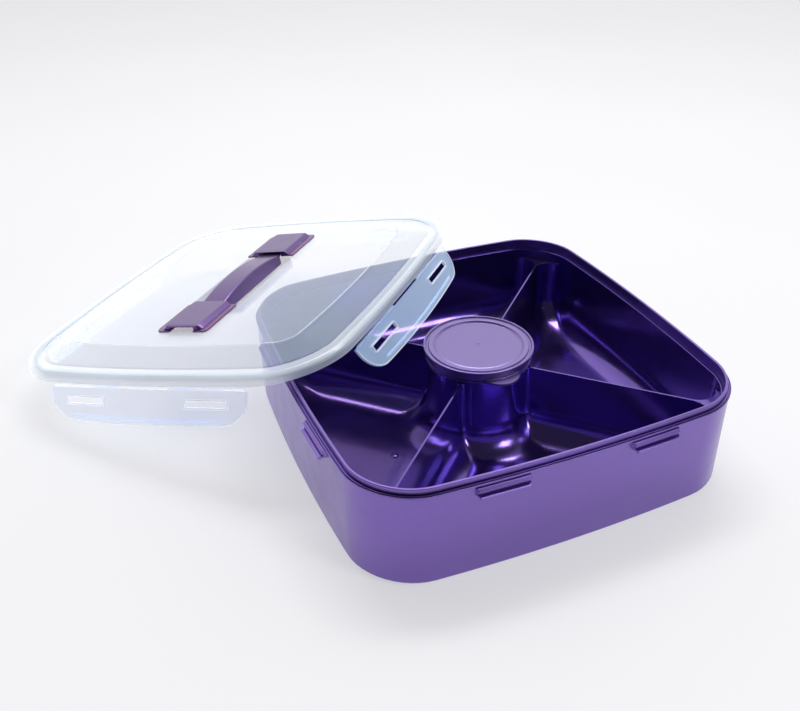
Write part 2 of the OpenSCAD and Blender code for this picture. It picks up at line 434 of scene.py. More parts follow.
def milky(name, scattered, passed, roughness):
    """Milky clear plastic: it scatters a share of the light and lets the rest straight through."""
    finish = Finish(name)
    cloud = finish.ramp(finish.noise(14, 3), shade(scattered, 0.96), shade(scattered, 1.03))
    finish.link(cloud, finish.shader.inputs["Base Color"])
    wear = finish.spread(finish.noise(45, 4), roughness - 0.03, roughness + 0.04)
    finish.link(wear, finish.shader.inputs["Roughness"])
    finish.relief(finish.noise(25, 2), 0.06, 0.15)
    finish.fixed(IOR=1.49)
    clear = finish.node("ShaderNodeBsdfTransparent", Color=(*passed, 1))
    both = finish.node("ShaderNodeAddShader")
    finish.link(finish.shader.outputs["BSDF"], both.inputs[0])
    finish.link(clear.outputs["BSDF"], both.inputs[1])
    finish.link(both.outputs["Shader"], finish.output.inputs["Surface"])
    return finish.material


def satin(name, colour, roughness, sheen):
    """Plain moulded rubber with a fine spark-eroded grain."""
    finish = Finish(name)
    tone = finish.ramp(finish.noise(30, 4), shade(colour, 0.92), shade(colour, 1.06))
    finish.link(tone, finish.shader.inputs["Base Color"])
    wear = finish.spread(finish.noise(300, 3), roughness - 0.05, roughness + 0.06)
    finish.link(wear, finish.shader.inputs["Roughness"])
    finish.relief(finish.noise(1800, 2), 0.12, 0.05)
    return finish.fixed(Sheen_Weight=sheen).material


# colour, roughness, metallic, coat and the coat's roughness
purple_pearl = pearl("purple_pearl", (0.207, 0.125, 0.46), 0.34, 0.94, 0.45, 0.2)
indigo_pearl = pearl("indigo_pearl", (0.175, 0.105, 0.45), 0.18, 0.95, 0.45, 0.06, grain=0.015)
lilac_pearl = pearl("lilac_pearl", (0.235, 0.17, 0.44), 0.36, 0.85, 0.6, 0.25)
plum_handle = pearl("plum_handle", (0.15, 0.08, 0.27), 0.32, 0.85, 0.6, 0.2)
plum_edge = pearl("plum_edge", (0.20, 0.055, 0.24), 0.3, 0.4, 0.6, 0.15)
# the colour scattered, the colour let through, roughness
clear_lid = milky("clear_lid", (0.152, 0.20, 0.285), (0.705, 0.68, 0.645), 0.16)
# whiter, denser clear for the lid's ring, skirt and panel bead: denser plastic with painted light, and a
# painted edge glow on the bead
denser_clear_and_painted_light = milky("denser_clear_and_painted_light", (0.38, 0.43, 0.50), (0.60, 0.585, 0.56), 0.2)
# the flaps' clear is a brighter copy of the lid's plastic: painted light for the light that passes through
# the hanging flaps
flap_clear_with_painted_light = milky("flap_clear_with_painted_light", (0.19, 0.30, 0.47), (0.82, 0.77, 0.70), 0.16)
# whiter clear for the flaps' slot rims and edge bead: painted edge glow
painted_edge_glow_clear = milky("painted_edge_glow_clear", (0.42, 0.45, 0.50), (0.66, 0.64, 0.60), 0.2)
silicone = satin("silicone", (0.80, 0.84, 0.88), 0.5, sheen=0.2)


# ---- container -------------------------------------------------------------------------------------


def container_body():
    wall_in = BODY_INSET + WALL
    corners = [
        (30, 0, 0),
        (4.4, 0, 0.7),
        (3.9, 0.9, 0.3),
        (2.6, 0.9, 0.9),
        (BODY_INSET, 3.4, 2.0),
        (BODY_INSET, FLANGE_TOP - 3.0, 0.4),
        (BODY_INSET + 0.3, FLANGE_TOP - 2.5, 0.15),
        (0, FLANGE_TOP - 2.3, 0.3),
        (0, FLANGE_TOP - 0.8, 0.35),
        (0.55, FLANGE_TOP - 0.8, 0.15),
        (0.7, FLANGE_TOP - 1.8, 0.15),
        (1.15, FLANGE_TOP - 1.8, 0.15),
        (1.25, FLANGE_TOP - 0.2, 0.2),
        (2.0, FLANGE_TOP - 0.2, 0.2),
        (2.15, FLANGE_TOP - 1.2, 0.15),
        (LIP_INSET, FLANGE_TOP - 1.2, 0.2),
        (LIP_INSET, TOTAL_HEIGHT, 0.6),
        (RIM_INNER, TOTAL_HEIGHT, 0.6),
        (RIM_INNER, RIM_FOOT, 0.3),
        (wall_in, WALL_TOP, 0.3),
        (wall_in, FLOOR_Z, 1.2),
        (30, FLOOR_Z, 0),
    ]
    return lofted(base_outline, soften(corners))


def hook():
    """A latch hook, its length along X and its outer face towards -Y, standing on the line y = 0."""
    profile = soften(
        [
            (-2.2, 74.4, 0),
            (1.9, 74.4, 0.4),
            (3.2, 72.8, 0.2),
            (3.2, 71.9, 0.2),
            (1.3, 71.3, 0.3),
            (1.6, 69.8, 0.4),
            (5.2, 69.3, 0.2),
            (5.5, 69.0, 0.15),
            (5.5, 67.8, 0.3),
            (5.1, 67.3, 0.2),
            (3.6, 67.3, 0.2),
            (3.2, 68.5, 0.3),
            (-2.2, 68.6, 0),
        ],
        closed=True,
        steps=3,
    )
    centre = Vector((HOOK_OUT / 2, HOOK_MIDDLE))

    def section(side, inset, shrink):
        points = []
        for corner in profile:
            u, v = centre + (Vector(corner) - centre) * shrink
            points.append((side * (HOOK_LENGTH / 2 - inset + 0.8 - HOOK_SLANT * u / HOOK_OUT), -u, v))
        return points

    return swept([section(-1, 0, 0.9), section(-1, 0.4, 1), section(1, 0.4, 1), section(1, 0, 0.9)])


def container_shell():
    shell = container_body()
    wall_y = HALF - BODY_INSET + SIDE_BOW * (1 - (HOOK_OFFSET / HALF) ** 2)
    lean = math.atan(2 * SIDE_BOW * HOOK_OFFSET / HALF**2)
    for side in range(4):
        for s in (-1, 1):
            turn = Matrix.Rotation(math.radians(90 * side), 4, "Z")
            foot = Matrix.Translation((s * HOOK_OFFSET, -wall_y, 0))
            place = turn @ foot @ Matrix.Rotation(s * lean, 4, "Z")
            shell.add(hook().map(lambda x, y, z, m=place: tuple(m @ Vector((x, y, z)))))
    return shell


# ---- divided tray ----------------------------------------------------------------------------------

TRAY_HALF = HALF - TRAY_IN
ARC_STEPS = 10
LINE_STEPS = 10
CORNER_STEPS = 6
COLUMN_STEPS = 10
WALL_STEPS = 26
EDGE_STEPS = 3
SIDE_STEPS = 3
FILLET_STEPS = 14
SHELF_STEPS = 14


def compartment_ring(inset, gusset_r, column_corner_r):
    """Outline of the +X compartment moved in by inset, with as many points at any inset."""

    def wall_x(y):
        return TRAY_HALF + SIDE_BOW * (1 - (y / TRAY_HALF) ** 2) - inset

    offset = math.sqrt(2) * (DIVIDER_HALF + inset)
    cy = 100.0
    for _ in range(12):
        cy = wall_x(cy) - gusset_r - offset - math.sqrt(2) * gusset_r
    cx = wall_x(cy) - gusset_r
    lean = math.atan(2 * SIDE_BOW * cy / TRAY_HALF**2)
    gusset = []
    for i in range(ARC_STEPS + 1):
        a = lean + (math.radians(135) - lean) * i / ARC_STEPS
        gusset.append((cx + gusset_r * math.cos(a), cy + gusset_r * math.sin(a)))
    column = COLUMN_R + inset
    m = offset + math.sqrt(2) * column_corner_r
    px = (m + math.sqrt(2 * (column + column_corner_r) ** 2 - m * m)) / 2
    py = px - m
    bearing = math.atan2(py, px)
    corner = []
    for i in range(CORNER_STEPS + 1):
        a = math.radians(135) + (math.pi + bearing - math.radians(135)) * i / CORNER_STEPS
        corner.append((px + column_corner_r * math.cos(a), py + column_corner_r * math.sin(a)))
    line = []
    for i in range(1, LINE_STEPS):
        t = i / LINE_STEPS
        line.append(tuple(a + (b - a) * t for a, b in zip(gusset[-1], corner[0])))
    upper = gusset + line + corner
    half_ring = []
    for i in range(1, COLUMN_STEPS):
        a = bearing * (1 - i / COLUMN_STEPS)
        half_ring.append((column * math.cos(a), column * math.sin(a)))
    lower = [(x, -y) for x, y in reversed(upper)]
    column_arc = half_ring + [(column, 0)] + [(x, -y) for x, y in reversed(half_ring)]
    top_y = gusset[0][1]
    wall = []
    for i in range(1, WALL_STEPS):
        y = top_y * (2 * i / WALL_STEPS - 1)
        wall.append((wall_x(y) + (gusset[0][0] - wall_x(top_y)) * abs(y / top_y) ** 8, y))
    return upper + column_arc + lower + wall


# points from the wall to the column's arc, and the whole count of a ring without its wall
UPPER = ARC_STEPS + LINE_STEPS + CORNER_STEPS + 1
INNER = UPPER * 2 + 2 * COLUMN_STEPS - 1


def edge_ring(ring, amount):
    """The top ring spread outward by amount except along the outer wall, so that the edges get a round."""
    count = len(ring)
    out = []
    for i, (x, y) in enumerate(ring):
        before = Vector(ring[i - 1])
        after = Vector(ring[(i + 1) % count])
        along = (after - before).normalized()
        away = min(i, INNER - 1 - i)
        weight = 0 if i >= INNER else min(1, away / 3)
        out.append((x + along.y * amount * weight, y - along.x * amount * weight))
    return out


def compartment_rings():
    """(ring, z) pairs from the divider top down to the floor."""
    ring = compartment_ring(0, GUSSET_R, COLUMN_FILLET)
    steps = []
    for k in range(EDGE_STEPS + 1):
        a = math.radians(90 * (1 - k / EDGE_STEPS))
        out = ROUND_EDGE * (1 - math.cos(a))
        steps.append((edge_ring(ring, out), DIVIDER_TOP - ROUND_EDGE * (1 - math.sin(a))))
    top = DIVIDER_TOP - ROUND_EDGE
    bottom = TRAY_FLOOR + FLOOR_FILLET
    for k in range(1, SIDE_STEPS + 1):
        z = top + (bottom - top) * k / SIDE_STEPS
        column_fillet = COLUMN_FILLET + 1.2 * k / SIDE_STEPS
        steps.append((compartment_ring((top - z) * WALL_DRAFT, GUSSET_R, column_fillet), z))
    start = (top - bottom) * WALL_DRAFT
    for k in range(1, FILLET_STEPS + 1):
        a = math.radians(90 * k / FILLET_STEPS)
        inset = start + FLOOR_FILLET * (1 - math.cos(a))
        z = TRAY_FLOOR + FLOOR_FILLET * (1 - math.sin(a))
        share = inset / (start + FLOOR_FILLET)
        column_fillet = COLUMN_FILLET + 1.2 + 8 * share
        steps.append((compartment_ring(inset, GUSSET_R - 5 * share, column_fillet), z))
    return steps


def divided_tray_shell():
    shell = Shell()
    tops = []
    for side in range(4):
        c, s = [(1, 0), (0, 1), (-1, 0), (0, -1)][side]
        rings = []
        for outline, z in compartment_rings():
            rings.append(shell.ring([(x * c - y * s, x * s + y * c) for x, y in outline], z))
        shell.loft(rings)
        shell.fill(rings[-1])
        tops.append(rings[0])
    count = len(tops[0])
    # corner curves of the inner wall between two compartments
    wall_loop = []
    corner_runs = []
    for side in range(4):
        here, following = tops[side], tops[(side + 1) % 4]
        start = Vector(shell.points[here[0]])
        end = Vector(shell.points[following[INNER - 1]])
        run = []
        radius = CORNER_R - TRAY_IN
        turn = math.radians(90 * side)
        for i in range(1, SHELF_STEPS):
            a = math.radians(6 + 78 * i / SHELF_STEPS)
            x = TRAY_HALF - radius + radius * math.cos(a)
            y = TRAY_HALF - radius + radius * math.sin(a)
            wx = x * (1 + SIDE_BOW / TRAY_HALF * (1 - (y / TRAY_HALF) ** 2))
            wy = y * (1 + SIDE_BOW / TRAY_HALF * (1 - (x / TRAY_HALF) ** 2))
            p = (wx * math.cos(turn) - wy * math.sin(turn), wx * math.sin(turn) + wy * math.cos(turn))
            if (Vector(p) - start.xy).length > 2 and (Vector(p) - end.xy).length > 2:
                run.append(p)
        indices = shell.ring(run, DIVIDER_TOP)
        corner_runs.append(indices)
        wall_loop += [here[i] for i in range(INNER, count)] + [here[0]] + indices + [following[INNER - 1]]
    # flat tops: the corner shelves and the dividers, each one face round a diagonal
    for side in range(4):
        here, following = tops[side], tops[(side + 1) % 4]
        loop = [here[i] for i in range(UPPER - 1, -1, -1)] + corner_runs[side]
        loop += [following[i] for i in range(INNER - 1, INNER - 1 - UPPER, -1)]
        shell.fill(loop)
    # inner wall above the dividers, rim and outer wall
    outline = [shell.points[i][:2] for i in wall_loop]
    normals = []
    for i, p in enumerate(outline):
        along = (Vector(outline[(i + 1) % len(outline)]) - Vector(outline[i - 1])).normalized()
        normals.append((along.y, -along.x))

    def moved(out):
        return [(p[0] + n[0] * out, p[1] + n[1] * out) for p, n in zip(outline, normals)]

    wall = TRAY_IN - TRAY_INSET
    profile = soften(
        [
            (0, DIVIDER_TOP, 0),
            (0, TRAY_TOP, 0.45),
            (wall, TRAY_TOP, 0.45),
            (wall, TRAY_BOTTOM, 1.0),
            (wall - 12, TRAY_BOTTOM, 0),
        ],
        steps=3,
    )
    rings = [wall_loop] + [shell.ring(moved(out), z) for out, z in profile[1:]]
    shell.loft(rings)
    shell.fill(rings[-1])
    # column above the dividers and the bore that the cup drops into
    mouth = [tops[side][i] for side in range(4) for i in range(INNER - UPPER, UPPER - 2, -1)]
    headings = [math.atan2(shell.points[i][1], shell.points[i][0]) for i in mouth]
    profile = soften(
        [
            (COLUMN_R - ROUND_EDGE, DIVIDER_TOP, 0),
            (COLUMN_R - ROUND_EDGE, COLUMN_TOP, 0.5),
            (COLUMN_BORE, COLUMN_TOP, 0.5),
            (COLUMN_BORE, TRAY_FLOOR, 2.0),
            (20, TRAY_FLOOR, 0),
        ]
    )
    rings = [mouth]
    for radius, z in profile[1:]:
        rings.append(shell.ring([(radius * math.cos(a), radius * math.sin(a)) for a in headings], z))
    shell.loft(rings)
    shell.fill(rings[-1])
    # moulding gate mark on one compartment floor
    gate = turned([(3.2, -0.2), (2.6, 0.35), (1.8, 0.75), (0.8, 0.95)], 24)
    shell.add(gate.map(lambda x, y, z: (x + GATE_MARK[0], y + GATE_MARK[1], TRAY_FLOOR + z)))
    return shell


# ---- dip cup and its lid ---------------------------------------------------------------------------


def dip_cup_shell():
    return turned(
        soften(
            [
                (12, CUP_BOTTOM, 0),
                (30.6, CUP_BOTTOM, 2.2),
                (CUP_R, CUP_FLANGE[0], 0.4),
                (CUP_FLANGE_R, CUP_FLANGE[0], 0.4),
                (CUP_FLANGE_R, CUP_FLANGE[1], 0.5),
                (CUP_RIM[1], CUP_FLANGE[1], 0.3),
                (CUP_RIM[1], CUP_RIM_TOP, 0.6),
                (CUP_RIM[0], CUP_RIM_TOP, 0.6),
                (CUP_RIM[0], CUP_FLANGE[1] + 0.4, 0.8),
                (CUP_R - CUP_WALL, CUP_FLANGE[0] + 0.1, 1.0),
                (29.0, CUP_BOTTOM + CUP_WALL, 5.0),
                (12, CUP_BOTTOM + CUP_WALL, 0),
            ]
        )
    )


def cup_lid_shell():
    r = CUP_LID_R
    step = CUP_LID_TOP - 1.6
    shell = turned(
        soften(
            [
                (8, CUP_LID_PLATE, 0),
                (35.4, CUP_LID_PLATE, 0.5),
                (35.4, CUP_LID_FOOT + 0.4, 0.3),
                (37.4, CUP_LID_FOOT + 0.4, 0.3),
                (37.4, CUP_LID_PLATE - 0.1, 0.3),
                (40.2, CUP_LID_PLATE - 0.1, 0.3),
                (40.2, CUP_LID_FOOT, 0.3),
                (r - 1.2, CUP_LID_FOOT, 0.4),
                (r - 1.2, CUP_LID_PLATE + 0.3, 0.3),
                (r, CUP_LID_PLATE + 1.0, 0.6),
                (r, CUP_LID_TOP, 0.8),
                (r - 1.5, CUP_LID_TOP, 0.5),
                (r - 2.2, step, 0.5),
                (r - 3.6, step, 0.4),
                (r - 4.1, CUP_LID_TOP - 0.3, 0.4),
                (35.2, CUP_LID_TOP - 0.3, 0.7),
                (33.7, step - 0.1, 0.5),
                (32.6, step + 0.2, 0.4),
                (2.2, step + 0.2, 0.15),
                (1.8, step - 0.05, 0.15),
                (1.0, step - 0.05, 0.15),
                (0.7, step + 0.3, 0.15),
                (0.3, step + 0.3, 0),
            ]
        ),
        160,
    )
    # crescent finger tab
    inner_r = r - 1.6
    y_meet = (inner_r**2 - TAB_R**2 + TAB_SHIFT**2) / (2 * TAB_SHIFT)
    x_meet = math.sqrt(inner_r**2 - y_meet**2)
    outer_half = math.atan2(x_meet, y_meet - TAB_SHIFT)
    inner_half = math.atan2(x_meet, y_meet)
    steps = 28
    outline = []
    for i in range(steps + 1):
        a = outer_half * (2 * i / steps - 1)
        outline.append((TAB_R * math.sin(a), -TAB_SHIFT - TAB_R * math.cos(a)))
    for i in range(1, steps):
        a = inner_half * (1 - 2 * i / steps)
        outline.append((inner_r * math.sin(a), -inner_r * math.cos(a)))
    middle = Vector((0, -(TAB_SHIFT + TAB_R + inner_r) / 2))

    def shrunk(amount):
        points = []
        for x, y in outline:
            towards = middle - Vector((x, y))
            points.append((x + towards.x * amount * 0.3, y + towards.y * amount))
        return points

    layers = ((0.1, 0.05), (0.4, 0), (1.2, 0), (1.6, 0.06), (1.5, 0.16), (1.0, 0.26))
    sections = [[(x, y, CUP_LID_FOOT + up) for x, y in shrunk(amount)] for up, amount in layers]
    return shell.add(swept(sections))


# ---- lid -------------------------------------------------------------------------------------------


def lid_panel_shell():
    shell = Shell()
    outer = soften(
        [
            (BAND_IN + 3.0, PANEL_TOP, 0),
            (BAND_IN + 0.2, PANEL_TOP, 0.4),
            (BAND_OUT + 0.9, RING_TOP + 0.2, 0.5),
            (BAND_OUT + 0.2, RING_TOP - 0.45, 0.3),
            (BAND_OUT - 0.6, RING_TOP - 0.45, 0.3),
            (BAND_OUT - 1.4, RING_TOP, 0.4),
            (4.2, RING_TOP, 3.2),
            (0, 5.0, 2.8),
            (0, 0, 0.5),
            (1.7, 0, 0.5),
            (1.7, 6.3, 0.7),
            (8.6, 6.3, 0.5),
            (8.6, 1.6, 0.4),
            (9.8, 1.6, 0.4),
            (9.8, 6.3, 0.6),
            (BAND_OUT + 0.7, 6.3, 0.8),
            (BAND_IN + 0.8, PANEL_TOP - LID_THICK, 0.8),
            (BAND_IN + 4.0, PANEL_TOP - LID_THICK, 0),
        ]
    )
    rings = shell.loft([shell.ring(lid_outline(inset), z) for inset, z in outer])
    # the ring over the gasket and the skirt take a whiter, denser clear: denser plastic, with painted light
    # brightening it
    for ring, (inset, _) in zip(rings, outer):
        if inset < BAND_OUT - 1.2:
            shell.marked.update(ring)
    # fine bead along the edge of the raised panel, in the whiter clear as a painted glow of light along the
    # panel's edge
    bead = [(0, -0.1), (0.15, 0.12), (0.7, 0.2), (1.2, 0.05), (1.3, -0.1)]
    bead = [(BAND_IN + inset, PANEL_TOP + z) for inset, z in bead]
    shell.add(lofted(lid_outline, bead, ends=(), loop=True), second_material=True)

    def well(z, grow):
        return shell.ring(rounded_box(WELL[0] + grow, WELL[1] + grow, WELL_CORNER + grow), z)

    # finger well under the strap: a pan pressed down into the panel
    top = shell.loft(
        [
            well(PANEL_TOP, 0.8),
            well(PANEL_TOP - 0.25, 0.25),
            well(PANEL_TOP - 1.0, 0),
            well(WELL_FLOOR + 2.2, -0.4),
            well(WELL_FLOOR + 0.7, -0.9),
            well(WELL_FLOOR, -2.4),
        ]
    )
    under = shell.loft(
        [
            well(PANEL_TOP - LID_THICK, 2.0),
            well(PANEL_TOP - LID_THICK - 0.8, 1.5),
            well(WELL_FLOOR + 1.2, 1.1),
            well(WELL_FLOOR - 0.8, 0.2),
            well(WELL_FLOOR - 1.5, -1.6),
        ]
    )
    shell.fill(top[-1])
    shell.fill(under[-1])
    shell.fill(rings[0], top[0])
    shell.fill(rings[-1], under[0])
    # posts that the handle blocks snap onto, each with a conical head
    for sx in (-1, 1):
        for sy in (-1, 1):
            post = turned([(2.4, -0.3), (2.4, 1.9), (2.0, 2.3), (1.0, 2.3)], 32)
            at = (POST_AT[0] * sx, POST_AT[1] * sy)
            shell.add(post.map(lambda x, y, z, at=at: (x + at[0], y + at[1], PANEL_TOP + z)))
    return shell


def lid_seal_shell():
    lips = [(4.5, 2.9, 0.6), (5.3, 3.3, 0.5), (6.5, 2.7, 0.5), (7.7, 3.3, 0.5), (8.5, 2.9, 0.6)]
    section = soften(lips + [(8.5, 6.25, 0.6), (4.5, 6.25, 0.6)], closed=True, steps=3)
    return lofted(lid_outline, section, ends=(), loop=True)


# ---- latch flaps -----------------------------------------------------------------------------------


def flap_edge(s):
    """Distance of the flap's lower edge from its hinge at s along it."""
    end = FLAP_HALF - abs(s)
    reach = FLAP_HEIGHT
    if end < FLAP_ROUND:
        reach = FLAP_HEIGHT - FLAP_ROUND + math.sqrt(max(0.0, FLAP_ROUND**2 - (FLAP_ROUND - end) ** 2))
    return reach + FLAP_BELLY * (1 - (s / FLAP_HALF) ** 2) * reach / FLAP_HEIGHT


def flap_face(s):
    """How far the flap's outer face stands from its hinge line, following the lid's bowed side."""
    return LID_HALF + LID_BOW * (1 - (s / LID_HALF) ** 2) - HINGE_X - 0.5


def flap_rows(s):
    """Distances of the flap's grid lines from its hinge at s, from its top edge to its lower edge."""
    edge = flap_edge(s)
    slot_top, slot_low = SLOT_DROP - SLOT[1] / 2, SLOT_DROP + SLOT[1] / 2
    top = SLIT_GAP if abs(s) < SLIT_HALF else FLAP_GAP

    def levels(first, last):
        return (first, 4.4, slot_top, slot_low, (slot_low + last) / 2, last - 1.2, last)

    # straight rows between the slots' ends, then rows that close up as the lower edge rounds
    squeeze = (edge - FLAP_GAP) / (FLAP_HEIGHT - FLAP_GAP)
    closing = [FLAP_GAP + (t - FLAP_GAP) * squeeze for t in levels(FLAP_GAP, FLAP_HEIGHT)]
    blend = min(1, max(0, (abs(s) - ROWS_CLOSE) / 5))
    return [a + (b - a) * blend for a, b in zip(levels(top, edge), closing)]


def flap_stations():
    slot_in, slot_out = SLOT_OFFSET - SLOT[0] / 2, SLOT_OFFSET + SLOT[0] / 2
    half = [0, 8, 16, SLIT_HALF - 0.2, SLIT_HALF + 0.1, 31]
    half += [slot_in, 44, 50, 57, 64, 70, slot_out, ROWS_CLOSE]
    for degrees in (25, 35, 44, 53, 61, 69, 76, 82, 86.5, 90):
        half.append(FLAP_HALF - FLAP_ROUND * (1 - math.sin(math.radians(degrees))))
    half = sorted(half)
    return [-h for h in reversed(half[1:])] + half


def flap_shell():
    """A flap in (s along the hinge, t down from it, h out from its outer face), then set on its hinge."""
    shell = Shell()
    stations = flap_stations()
    rows = 7
    slot_in, slot_out = SLOT_OFFSET - SLOT[0] / 2, SLOT_OFFSET + SLOT[0] / 2

    def grid(h, tuck):
        columns = []
        for s in stations:
            ts = flap_rows(s)
            if tuck:
                ts = [ts[0] + tuck] + ts[1:-1] + [ts[-1] - tuck]
            columns.append(shell.ring([(s, t, h) for t in ts]))
        return columns

    def is_slot(i, row):
        middle = abs(stations[i] + stations[i + 1]) / 2
        return row == 2 and slot_in < middle < slot_out

    layers = [grid(0, 0.25), grid(-0.3, 0), grid(-FLAP_THICK + 0.3, 0), grid(-FLAP_THICK, 0.25)]
    for columns in (layers[0], layers[3]):
        for i in range(len(stations) - 1):
            for row in range(rows - 1):
                if not is_slot(i, row):
                    here, following = columns[i], columns[i + 1]
                    shell.faces.append((here[row], here[row + 1], following[row + 1], following[row]))

    def rim(path):
        for a, b in zip(layers, layers[1:]):
            for (i, row), (j, other) in zip(path, path[1:]):
                shell.faces.append((a[i][row], a[j][other], b[j][other], b[i][row]))

    last = len(stations) - 1
    rim([(i, 0) for i in range(last + 1)])
    rim([(i, rows - 1) for i in range(last + 1)])
    rim([(0, r) for r in range(rows)])
    rim([(last, r) for r in range(rows)])
    for sign in (-1, 1):
        inside = [i for i, s in enumerate(stations) if slot_in - 0.01 <= sign * s <= slot_out + 0.01]
        first, final = inside[0], inside[-1]
        rim([(i, 2) for i in inside])
        rim([(i, 3) for i in inside])
        for end in (first, final):
            rim([(end, 2), (end, 3)])
    # raised rims round the slots, in a whiter clear that paints a glow along their edges
    for sign in (-1, 1):
        shell.add(slot_rim(sign * SLOT_OFFSET), second_material=True)
    # bead round the outline, in the same whiter clear as a painted edge glow, and a rib just inside the
    # lower edge
    shell.add(edge_bead(), second_material=True)
    shell.add(edge_rib())
    # hinge webs with their bead
    for sign in (-1, 1):
        shell.add(hinge_web(sign))
    return shell.map(lambda s, t, h: (flap_face(s) + h, s, -t))


def slot_rim(centre):
    """A rounded frame that lines one slot and stands a little proud of both faces."""
    under = -FLAP_THICK - 0.15
    corners = [(0, under, 0.2), (1.5, under, 0.2), (1.5, 0.6, 0.5), (0, 0.6, 0.5)]
    section = soften(corners, closed=True, steps=3)
    shell = Shell()
    rings = []
    for grow, h in section:
        outline = rounded_box(SLOT[0] / 2 + grow, SLOT[1] / 2 + grow, 0.9 + grow)
        dense = []
        for i, (x, y) in enumerate(outline):
            nx, ny = outline[(i + 1) % len(outline)]
            parts = 8 if abs(nx - x) > 20 else 1
            dense += [(x + (nx - x) * k / parts, y + (ny - y) * k / parts) for k in range(parts)]
        rings.append(shell.ring([(centre + x, SLOT_DROP + y, h) for x, y in dense]))
    shell.loft(rings, loop=True)
    return shell


def edge_bead():
    """A fine bead along the flap's ends and lower edge."""
    path = [(-FLAP_HALF, 2.2), (-FLAP_HALF, 4.0)]
    path += [(s, flap_edge(s)) for s in flap_stations()]
    path += [(FLAP_HALF, 4.0), (FLAP_HALF, 2.2)]
    sections = []
    for i, (s, t) in enumerate(path):
        back, ahead = path[max(0, i - 1)], path[min(len(path) - 1, i + 1)]
        along = Vector((ahead[0] - back[0], ahead[1] - back[1])).normalized()
        inward = Vector((along.y, -along.x))
        ring = []
        for offset, h in ((0.05, -0.3), (0.1, 0.25), (0.55, 0.38), (1.0, 0.25), (1.15, -0.2)):
            ring.append((s + inward.x * offset, t + inward.y * offset, h))
        sections.append(ring)
    return swept(sections)


def edge_rib():
    """A low stiffening rib that follows the flap's lower edge on its outer face."""
    shell = Shell()
    rings = []
    half = 74
    for s in [s for s in flap_stations() if abs(s) < half]:
        t = flap_edge(s) - 4.2
        fade = min(1, (half - abs(s)) / 12)
        crest = 0.5 * fade - 0.05
        profile = [(t - 1.3, -0.1), (t - 0.6, crest), (t + 0.4, crest), (t + 1.2, -0.1), (t, -0.3)]
        rings.append(shell.ring([(s, across, h) for across, h in profile]))
    shell.loft(rings)
    shell.fill(rings[0])
    shell.fill(rings[-1])
    return shell


def hinge_web(sign):
    """The thin web that bends, with a bead on the hinge line."""
    shell = Shell()
    rings = []
    foot = 2.3
    corners = [(-0.35, 0.4, 0.3), (0.35, 0.4, 0.3), (0.55, foot, 0.3), (-0.75, foot, 0.3)]
    section = soften(corners, closed=True, steps=3)
    steps = 14
    for i in range(steps + 1):
        s = sign * (SLIT_HALF + (WEB_END - SLIT_HALF) * i / steps)
        centre = -flap_face(s)
        ring = []
        for u, t in section:
            down = min(1, t / foot)
            ring.append((s, t - 0.35, (centre + u) * (1 - down) + (u * 1.2 - 0.9) * down))
        rings.append(shell.ring(ring))
    shell.loft(rings)
    shell.fill(rings[0])
    shell.fill(rings[-1])
    return shell


def flap_axes(turn):
    hinge = Matrix.Translation((HINGE_X, 0, HINGE_Z)) @ Matrix.Rotation(-FLAP_HANG, 4, "Y")
    return LID_AXES @ Matrix.Rotation(math.radians(turn), 4, "Z") @ hinge


# ---- carrying handle -------------------------------------------------------------------------------


def strap_top(y):
    return STRAP_CREST[0] + STRAP_CREST[1] * (1 - (y / STRAP_END) ** 2)


def strap_shell():
    def section(y, channel, shrink=0.0):
        w = STRAP_HALF - shrink
        top = strap_top(y) - shrink
        low = (7 if abs(y) < STRAP_WELL_END else 13.8) + shrink
        deep = low + (7 if channel else 0.01)
        wall = 2.0
        flat = soften(
            [
                (-w, low, 0.5),
                (-w, top - 0.6, 0.5),
                (-w + 1.0, top, 0.7),
                (w - 1.0, top, 0.7),
                (w, top - 0.6, 0.5),
                (w, low, 0.5),
            ],
            closed=True,
            steps=3,
        )
        inner = [(w - wall, low), (w - wall - 0.3, deep), (-w + wall + 0.3, deep), (-w + wall, low)]
        return [(u, y, v) for u, v in flat + inner]

    ends = [(STRAP_TUCKED_END, 0.4), (STRAP_TUCKED_END - 0.4, 0)]
    ends += [(STRAP_WELL_END + 0.02, 0), (STRAP_WELL_END - 0.02, 0), (STRAP_CHANNEL_END + 0.01, 0)]
    steps = 24
    stations = [section(-y, False, shrink) for y, shrink in ends]
    stations += [section(STRAP_CHANNEL_END * (2 * i / steps - 1), True) for i in range(steps + 1)]
    stations += [section(y, False, shrink) for y, shrink in reversed(ends)]
    shell = swept(stations)
    # the tongues that slide in the blocks' tunnels
    for sign in (-1, 1):
        half = STRAP_HALF - 0.8
        top = STRAP_CREST[0]
        corners = [(-half, 14, 0.3), (half, 14, 0.3), (half, top, 0.5), (-half, top, 0.5)]
        outline = soften(corners, closed=True, steps=3)
        shell.add(swept([[(u, sign * y, v) for u, v in outline] for y in (45.5, 60, STRAP_TONGUE_END)]))
    return shell


